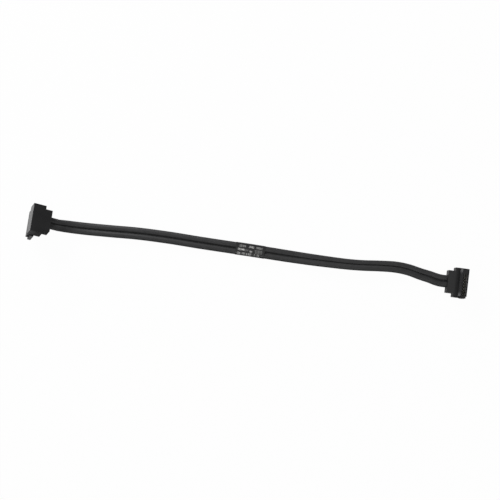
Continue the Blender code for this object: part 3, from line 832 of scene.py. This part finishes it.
def rowTree():
    # one strip set out a number of times, a pitch apart
    inputs = [
        ("Strip", "Object"),
        ("Count", "Int"),
        ("Pitch", "Float"),
        ("First", "Float"),
        ("Material", "Material"),
    ]
    tree, entry, leave = newTree("contactRow", inputs)
    strip = nodeIn(tree, "GeometryNodeObjectInfo", (-900, -200))
    tree.links.new(entry.outputs["Strip"], strip.inputs["Object"])
    start = nodeIn(tree, "ShaderNodeCombineXYZ", (-900, 100))
    step = nodeIn(tree, "ShaderNodeCombineXYZ", (-900, 250))
    tree.links.new(entry.outputs["First"], start.inputs[1])
    tree.links.new(entry.outputs["Pitch"], step.inputs[1])
    row = nodeIn(tree, "GeometryNodeMeshLine", (-600, 150), mode="OFFSET")
    tree.links.new(entry.outputs["Count"], row.inputs["Count"])
    tree.links.new(start.outputs[0], row.inputs["Start Location"])
    tree.links.new(step.outputs[0], row.inputs["Offset"])
    setOut = nodeIn(tree, "GeometryNodeInstanceOnPoints", (-300, 0))
    tree.links.new(row.outputs[0], setOut.inputs["Points"])
    tree.links.new(strip.outputs["Geometry"], setOut.inputs["Instance"])
    return closeTree(tree, setOut.outputs[0], entry, leave)


sweepAlongLead = sweepTree()
contactRow = rowTree()


# Lead: the jacket with its two lobes
def sectionCurve(outline):
    data = bpy.data.curves.new("section", "CURVE")
    data.dimensions = "3D"
    spline = data.splines.new("POLY")
    spline.points.add(len(outline) - 1)
    for point, (a, b) in zip(spline.points, outline):
        point.co = (a, b, 0, 1)
    spline.use_cyclic_u = True
    return addObject("section", data)


def leadSection(values, steps=16, grow=0.0):
    webAngle = math.asin(values["web"] / values["thickness"])
    lobe = (values["width"] - values["webWidth"]) / (1 + math.cos(webAngle))
    halfWidth = lobe / 2 + grow
    halfHeight = values["thickness"] / 2 + grow
    centre = (values["width"] - lobe) / 2
    reach = math.pi - math.asin((values["web"] / 2 + grow) / halfHeight)
    outline = []
    for side in (1, -1):
        for step in range(2 * steps + 1):
            angle = reach * (step / steps - 1)
            across = centre + halfWidth * math.cos(angle)
            outline.append((side * across, side * halfHeight * math.sin(angle)))
    return outline


def lineCurve(line):
    data = bpy.data.curves.new("route", "CURVE")
    data.dimensions = "3D"
    data.twist_mode = "Z_UP"
    spline = data.splines.new("POLY")
    spline.points.add(len(line) - 1)
    for point, (x, y, z, roll) in zip(spline.points, line):
        point.co = (x, y, z, 1)
        point.tilt = roll
    return addObject("route", data)


def sweptPiece(name, line, outline, material, fillEnds):
    route = lineCurve(line)
    section = sectionCurve(outline)
    inputs = {"Section": section, "Fill Ends": fillEnds, "Material": material}
    useTree(route, sweepAlongLead, inputs)
    mesh = meshOf(route)
    mesh.name = name
    dropObject(route)
    dropObject(section)
    shape = bmesh.new()
    shape.from_mesh(mesh)
    bmesh.ops.recalc_face_normals(shape, faces=shape.faces)
    shape.to_mesh(mesh)
    shape.free()
    return addObject(name, mesh)


def placesOnLead(mesh, name, factor, middle=0.0):
    # along the lead and around its section, for the material
    along = mesh.attributes["along"].data
    around = mesh.attributes["around"].data
    spots = [(far.value - middle, *spot.vector[:2]) for far, spot in zip(along, around)]
    layer = mesh.attributes.new(name, "FLOAT_VECTOR", "POINT")
    for entry, spot in zip(layer.data, spots):
        entry.vector = Vector(spot) * factor


leadPath = evenLine(fineLine, leadValues["spacing"])
leadJacket = sweptPiece("leadJacketTwin", leadPath, leadSection(leadValues), leadJacketFinish, True)
placesOnLead(leadJacket.data, "leadPlace", 1.0)
smooth(leadJacket.data, 50)
print("lead swept:", len(leadJacket.data.polygons), "faces")


# Label: a film wrapped around the lead
def labelSection(values, lead, steps=14):
    radius = lead["thickness"] / 2 + values["gap"]
    centre = lead["width"] / 2 + values["gap"] - radius
    outline = []
    for side in (1, -1):
        for step in range(steps + 1):
            angle = math.pi * (step / steps - 0.5)
            across = centre + radius * math.cos(angle)
            outline.append((side * across, side * radius * math.sin(angle)))
        for step in range(1, 6):  # the flat between the two ends
            outline.append((side * centre * (1 - step / 3), side * radius))
    return outline


def makeLabel(values, lead):
    low = values["middle"] - values["length"] / 2
    high = values["middle"] + values["length"] / 2
    stretch = [spot for spot in fineLine if low <= spot[0] <= high]
    stretch = evenLine(stretch, values["spacing"])
    wrap = sweptPiece("labelWrap", stretch, labelSection(values, lead), labelFilm, False)
    placesOnLead(wrap.data, "labelPlace", 1 / mm, values["length"] / 2)
    thick = wrap.modifiers.new("film thickness", "SOLIDIFY")
    thick.thickness = values["wall"]
    thick.offset = 1.0
    mesh = meshOf(wrap)
    dropObject(wrap)
    smooth(mesh, 50)
    return addObject("labelWrap", mesh)


labelWrap = makeLabel(labelValues, leadValues)
print("label wrapped")


# Plugs: cover, nose and contacts, made on the plug's own axes
coverValues = {
    "height": 5.2 * mm,
    "collarLength": 3.05 * mm,
    "collarWidth": 10.2 * mm,
    "bodyLength": 5.75 * mm,
    "bodyLowSide": -6.7 * mm,
    "bodyHighSide": 6.7 * mm,
    "rounding": 0.15 * mm,
    "floor": 1.15 * mm,  # under the pocket
    "leadSeat": 1.7 * mm,
    "behindLead": 0.5 * mm,  # left free past the lead's end
    "gap": 0.05 * mm,  # around whatever is seated in it
}

noseValues = {
    "rear": 5.2 * mm,
    "front": 8.1 * mm,
    "lowSide": -6.07 * mm,
    "highSide": 6.27 * mm,
    "mouth": 10.4 * mm,
    "rounding": 0.15 * mm,
    "ribSetback": 0.95 * mm,
    "ribThickness": 1.5 * mm,
    "ribReach": 1.0 * mm,
    "baseInset": 0.2 * mm,
    "baseRear": 5.3 * mm,
    "slotWidth": 1.2 * mm,
    "slotLow": -5.76 * mm,
    "slotHigh": 3.91 * mm,
    "slotOuterWall": 0.6 * mm,
    "slotDepth": 5.5 * mm,
    "keyDepth": 0.7 * mm,
    "keyWidth": 0.9 * mm,
    "leadIn": 0.15 * mm,
    "baseTop": 0.8 * mm,  # over the cover
    "grooveWall": 0.45 * mm,
    "grooveWidth": 0.8 * mm,
    "grooveFloor": 1.2 * mm,  # over the cover's floor
    "grooveIntoSlot": 0.3 * mm,
}

stripValues = {
    "count": 7,
    "pitch": 1.27 * mm,
    "width": 0.5 * mm,
    "thickness": 0.2 * mm,
    "first": -5.31 * mm,
    "reach": 0.75 * mm,
    "tipSetback": 0.7 * mm,
    "edge": 0.035 * mm,
    "gap": 0.05 * mm,  # behind the riser
    "tailStart": 3.95 * mm,
    "tailHeight": 2.4 * mm,
    "bend": 0.25 * mm,
    "bendInner": 0.075 * mm,
    "riserTop": 0.6 * mm,  # over the slot's floor
    "springLow": 1.55 * mm,  # under the mouth
    "springLength": 0.5 * mm,
    "bow": 0.05 * mm,
    "tipLow": 0.45 * mm,
}


def coverOutline(values):
    length = values["collarLength"] + values["bodyLength"]
    low = values["bodyLowSide"]
    high = values["bodyHighSide"]
    collar = values["collarWidth"] / 2
    step = values["collarLength"]
    lowHalf = [(0, -collar), (step, -collar), (step, low), (length, low)]
    return lowHalf + [(length, high), (step, high), (step, collar), (0, collar)]


def makeCover(values, nose):
    cover = prism(coverOutline(values), 0, values["height"])
    roundEdges(cover, values["rounding"], 6)
    gap = values["gap"]
    inset = nose["baseInset"] - gap
    sides = (nose["lowSide"] + inset, nose["highSide"] - inset)
    ends = (nose["baseRear"] - gap, nose["front"] - inset)
    combine(cover, box(*ends, *sides, values["floor"], values["height"] + mm), "DIFFERENCE")
    depth = values["leadSeat"] + values["behindLead"]
    seat = prism(leadSection(leadValues, 12, gap), -mm, depth, "yz")
    for point in seat.data.vertices:
        point.co.z += leadValues["level"]
    combine(cover, seat, "DIFFERENCE")
    return finishMesh(cover)


def slotOutline(values, spare=0.0):
    front = values["front"] - values["slotOuterWall"] + spare
    rear = front - values["slotWidth"] - 2 * spare
    low = values["slotLow"] - spare
    high = values["slotHigh"] + spare
    key = values["keyWidth"] + 2 * spare
    back = rear - values["keyDepth"]
    keyEnd = [(back, high), (back, high - key), (rear, high - key)]
    return [(rear, low), (front, low), (front, high)] + keyEnd


def flareCutter(values):
    # the sloped lead-in around the mouth of the slot
    slope = values["leadIn"]
    shape = bmesh.new()
    lower = [shape.verts.new((x, y, values["mouth"] - slope)) for x, y in slotOutline(values)]
    wider = slotOutline(values, 2 * slope)
    upper = [shape.verts.new((x, y, values["mouth"] + slope)) for x, y in wider]
    shape.faces.new(lower)
    shape.faces.new(upper)
    for i in range(len(lower)):
        following = (i + 1) % len(lower)
        shape.faces.new((lower[i], lower[following], upper[following], upper[i]))
    return closeShape(shape, "flare")


def makeNose(values, cover, strip):
    low = values["lowSide"]
    high = values["highSide"]
    inset = values["baseInset"]
    foot = cover["height"] + cover["gap"]
    nose = box(values["rear"], values["front"], low, high, foot, values["mouth"])
    roundEdges(nose, values["rounding"], 6)
    ribFront = values["front"] - values["ribSetback"]
    ribSides = (low - values["ribReach"], low + values["rounding"])
    rib = box(ribFront - values["ribThickness"], ribFront, *ribSides, foot, values["mouth"])
    combine(nose, rib, "UNION")
    baseHeights = (cover["floor"] + cover["gap"], cover["height"] + values["baseTop"])
    base = box(values["baseRear"], values["front"] - inset, low + inset, high - inset, *baseHeights)
    combine(nose, base, "UNION")
    slotFloor = values["mouth"] - values["slotDepth"]
    combine(nose, prism(slotOutline(values), slotFloor, values["mouth"] + mm), "DIFFERENCE")
    combine(nose, flareCutter(values), "DIFFERENCE")
    slotRear = values["front"] - values["slotOuterWall"] - values["slotWidth"]
    back = values["rear"] + values["grooveWall"]
    side = values["grooveWidth"] / 2
    grooveHeights = (cover["floor"] + values["grooveFloor"], values["mouth"] + mm)
    for number in range(strip["count"]):
        y = strip["first"] + strip["pitch"] * number
        groove = box(back, slotRear + values["grooveIntoSlot"], y - side, y + side, *grooveHeights)
        combine(nose, groove, "DIFFERENCE")
    return finishMesh(nose)


def stripLine(nose, strip):
    # middle line of one contact: tail, riser, spring crest and tip
    half = strip["thickness"] / 2
    tail = strip["tailHeight"]
    riser = nose["rear"] + nose["grooveWall"] + strip["gap"] + half
    slotRear = nose["front"] - nose["slotOuterWall"] - nose["slotWidth"]
    crest = slotRear + strip["reach"] - half
    slotFloor = nose["mouth"] - nose["slotDepth"]
    line = [
        (strip["tailStart"], tail),
        (riser - strip["bend"], tail),
        (riser - strip["bendInner"], tail + strip["bendInner"]),
        (riser, tail + strip["bend"]),
        (riser, slotFloor + strip["riserTop"]),
    ]
    for step in range(9):  # the bowed spring
        share = step / 8
        flat = 1 - math.sin(share * math.pi)
        height = nose["mouth"] - strip["springLow"] + strip["springLength"] * share
        line.append((crest - strip["bow"] * flat, height))
    line.append((crest - strip["tipSetback"], nose["mouth"] - strip["tipLow"]))
    return line


def makeStrip(nose, strip):
    line = [Vector(spot) for spot in stripLine(nose, strip)]
    left = []
    right = []
    for i, here in enumerate(line):
        before = (here - line[i - 1]).normalized() if i else (line[1] - here).normalized()
        after = (line[i + 1] - here).normalized() if i < len(line) - 1 else before
        middle = (before + after).normalized()
        sideways = Vector((-middle.y, middle.x)) * (strip["thickness"] / 2)
        left.append(tuple(here + sideways))
        right.append(tuple(here - sideways))
    piece = prism(left + right[::-1], -strip["width"] / 2, strip["width"] / 2, "xz")
    roundEdges(piece, strip["edge"], 2, 50)
    return piece


def makeContacts(nose, strip):
    single = makeStrip(nose, strip)
    carrier = addObject("contactCarrier", bpy.data.meshes.new("contactCarrier"))
    inputs = {
        "Strip": single,
        "Count": strip["count"],
        "Pitch": strip["pitch"],
        "First": strip["first"],
        "Material": contactGold,
    }
    useTree(carrier, contactRow, inputs)
    mesh = meshOf(carrier)
    dropObject(carrier)
    dropObject(single)
    smooth(mesh, 35)
    return mesh


def placeOnPlug(mesh, side, name, material):
    own = mesh.copy()
    own.name = name
    own.transform(plugMatrices[side])
    own.materials.clear()
    own.materials.append(material)
    return addObject(name, own)


coverMesh = makeCover(coverValues, noseValues)
noseMesh = makeNose(noseValues, coverValues, stripValues)
contactMesh = makeContacts(noseValues, stripValues)
for mesh in (coverMesh, noseMesh, contactMesh):
    keepPlaces(mesh)

plugPieces = {}
for side in plugPlaces:
    plugPieces[side] = {
        "cover": placeOnPlug(coverMesh, side, side + "CoverShell", plugPlastic),
        "nose": placeOnPlug(noseMesh, side, side + "MouthNose", plugPlastic),
        "contacts": placeOnPlug(contactMesh, side, side + "ContactStrips", contactGold),
    }
plugFaces = [len(mesh.polygons) for mesh in (coverMesh, noseMesh, contactMesh)]
print("plugs made:", *plugFaces, "faces")


# The CAD's wires inside the plugs keep their shapes and get a finish
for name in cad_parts:
    wire = bpy.data.objects.get(name)
    finish = drainTin if "drain" in name else coreInsulation if "core" in name else None
    if wire and finish:
        wire.data.materials.clear()
        wire.data.materials.append(finish)


# Floor, world and lamps
stageValues = {
    "floorSize": 3.0,
    "floorColour": (0.62, 0.62, 0.62),
    "whiteShare": 0.975,  # how much of the floor the camera sees as plain white
    "worldStrength": 0.3,
    "lamps": {  # place, size and power
        "softKey": ((-0.5, 0.52, 0.36), 0.4, 6.9),
        "softOverhead": ((0.1, 0.0, 1.0), 1.0, 1.25),
        "softNear": ((0.05, -0.55, 0.75), 0.5, 1.9),
    },
}


def makeFloor(values):
    half = values["floorSize"] / 2
    corners = [(-half, -half, 0), (half, -half, 0), (half, half, 0), (-half, half, 0)]
    mesh = bpy.data.meshes.new("paleFloor")
    mesh.from_pydata(corners, [], [(0, 1, 2, 3)])
    floor = addObject("paleFloor", mesh)
    material = bpy.data.materials.new("paleFloorFinish")
    material.use_nodes = True
    tree = material.node_tree
    tree.nodes.clear()
    out = nodeIn(tree, "ShaderNodeOutputMaterial", (400, 0))
    rays = nodeIn(tree, "ShaderNodeLightPath", (-600, 300))
    paint = nodeIn(tree, "ShaderNodeBsdfDiffuse", (-300, 0))
    paint.inputs["Color"].default_value = (*values["floorColour"], 1)
    glow = nodeIn(tree, "ShaderNodeEmission", (-300, -200))
    glow.inputs["Color"].default_value = (1, 1, 1, 1)
    seen = rays.outputs["Is Camera Ray"]
    share = mathNode(tree, "MULTIPLY", seen, values["whiteShare"], (-100, 300))
    mix = nodeIn(tree, "ShaderNodeMixShader", (150, 0))
    tree.links.new(share, mix.inputs[0])
    tree.links.new(paint.outputs[0], mix.inputs[1])
    tree.links.new(glow.outputs[0], mix.inputs[2])
    tree.links.new(mix.outputs[0], out.inputs[0])
    mesh.materials.append(material)


def makeWorld(values):
    # white to the camera, dimmer as a light
    world = bpy.data.worlds.new("studioWorld")
    scene.world = world
    world.use_nodes = True
    tree = world.node_tree
    back = tree.nodes["Background"]
    back.inputs[0].default_value = (1, 1, 1, 1)
    back.inputs[1].default_value = values["worldStrength"]
    seen = nodeIn(tree, "ShaderNodeBackground", (0, -200))
    seen.inputs[0].default_value = (1, 1, 1, 1)
    seen.inputs[1].default_value = 1.0
    rays = nodeIn(tree, "ShaderNodeLightPath", (-200, 300))
    mix = nodeIn(tree, "ShaderNodeMixShader", (300, 0))
    tree.links.new(rays.outputs["Is Camera Ray"], mix.inputs[0])
    tree.links.new(back.outputs[0], mix.inputs[1])
    tree.links.new(seen.outputs[0], mix.inputs[2])
    tree.links.new(mix.outputs[0], tree.nodes["World Output"].inputs[0])


def addLamp(name, place, size, power):
    data = bpy.data.lights.new(name, "AREA")
    data.shape = "DISK"
    data.size = size
    data.energy = power
    lamp = addObject(name, data)
    lamp.location = place
    lamp.rotation_euler = (-Vector(place)).to_track_quat("-Z", "Y").to_euler()


makeFloor(stageValues)
makeWorld(stageValues)
for name, settings in stageValues["lamps"].items():
    addLamp(name, *settings)
scene.view_settings.view_transform = "Standard"
print("stage lit")


# What each piece rides on and stands for
def settle(piece, slot, *nodes):
    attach(piece, "root")
    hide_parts(*nodes)


settle(leadJacket, "lead_jacket", "cable_jacket")
settle(labelWrap, "label_film", "label_sleeve")
for side, own in plugPieces.items():
    settle(own["cover"], "plug_plastic", side + "_cover")
    settle(own["nose"], "plug_plastic", side + "_insulator")
    settle(own["contacts"], "contact_metal", *[f"{side}_contact_{number}" for number in range(1, 8)])
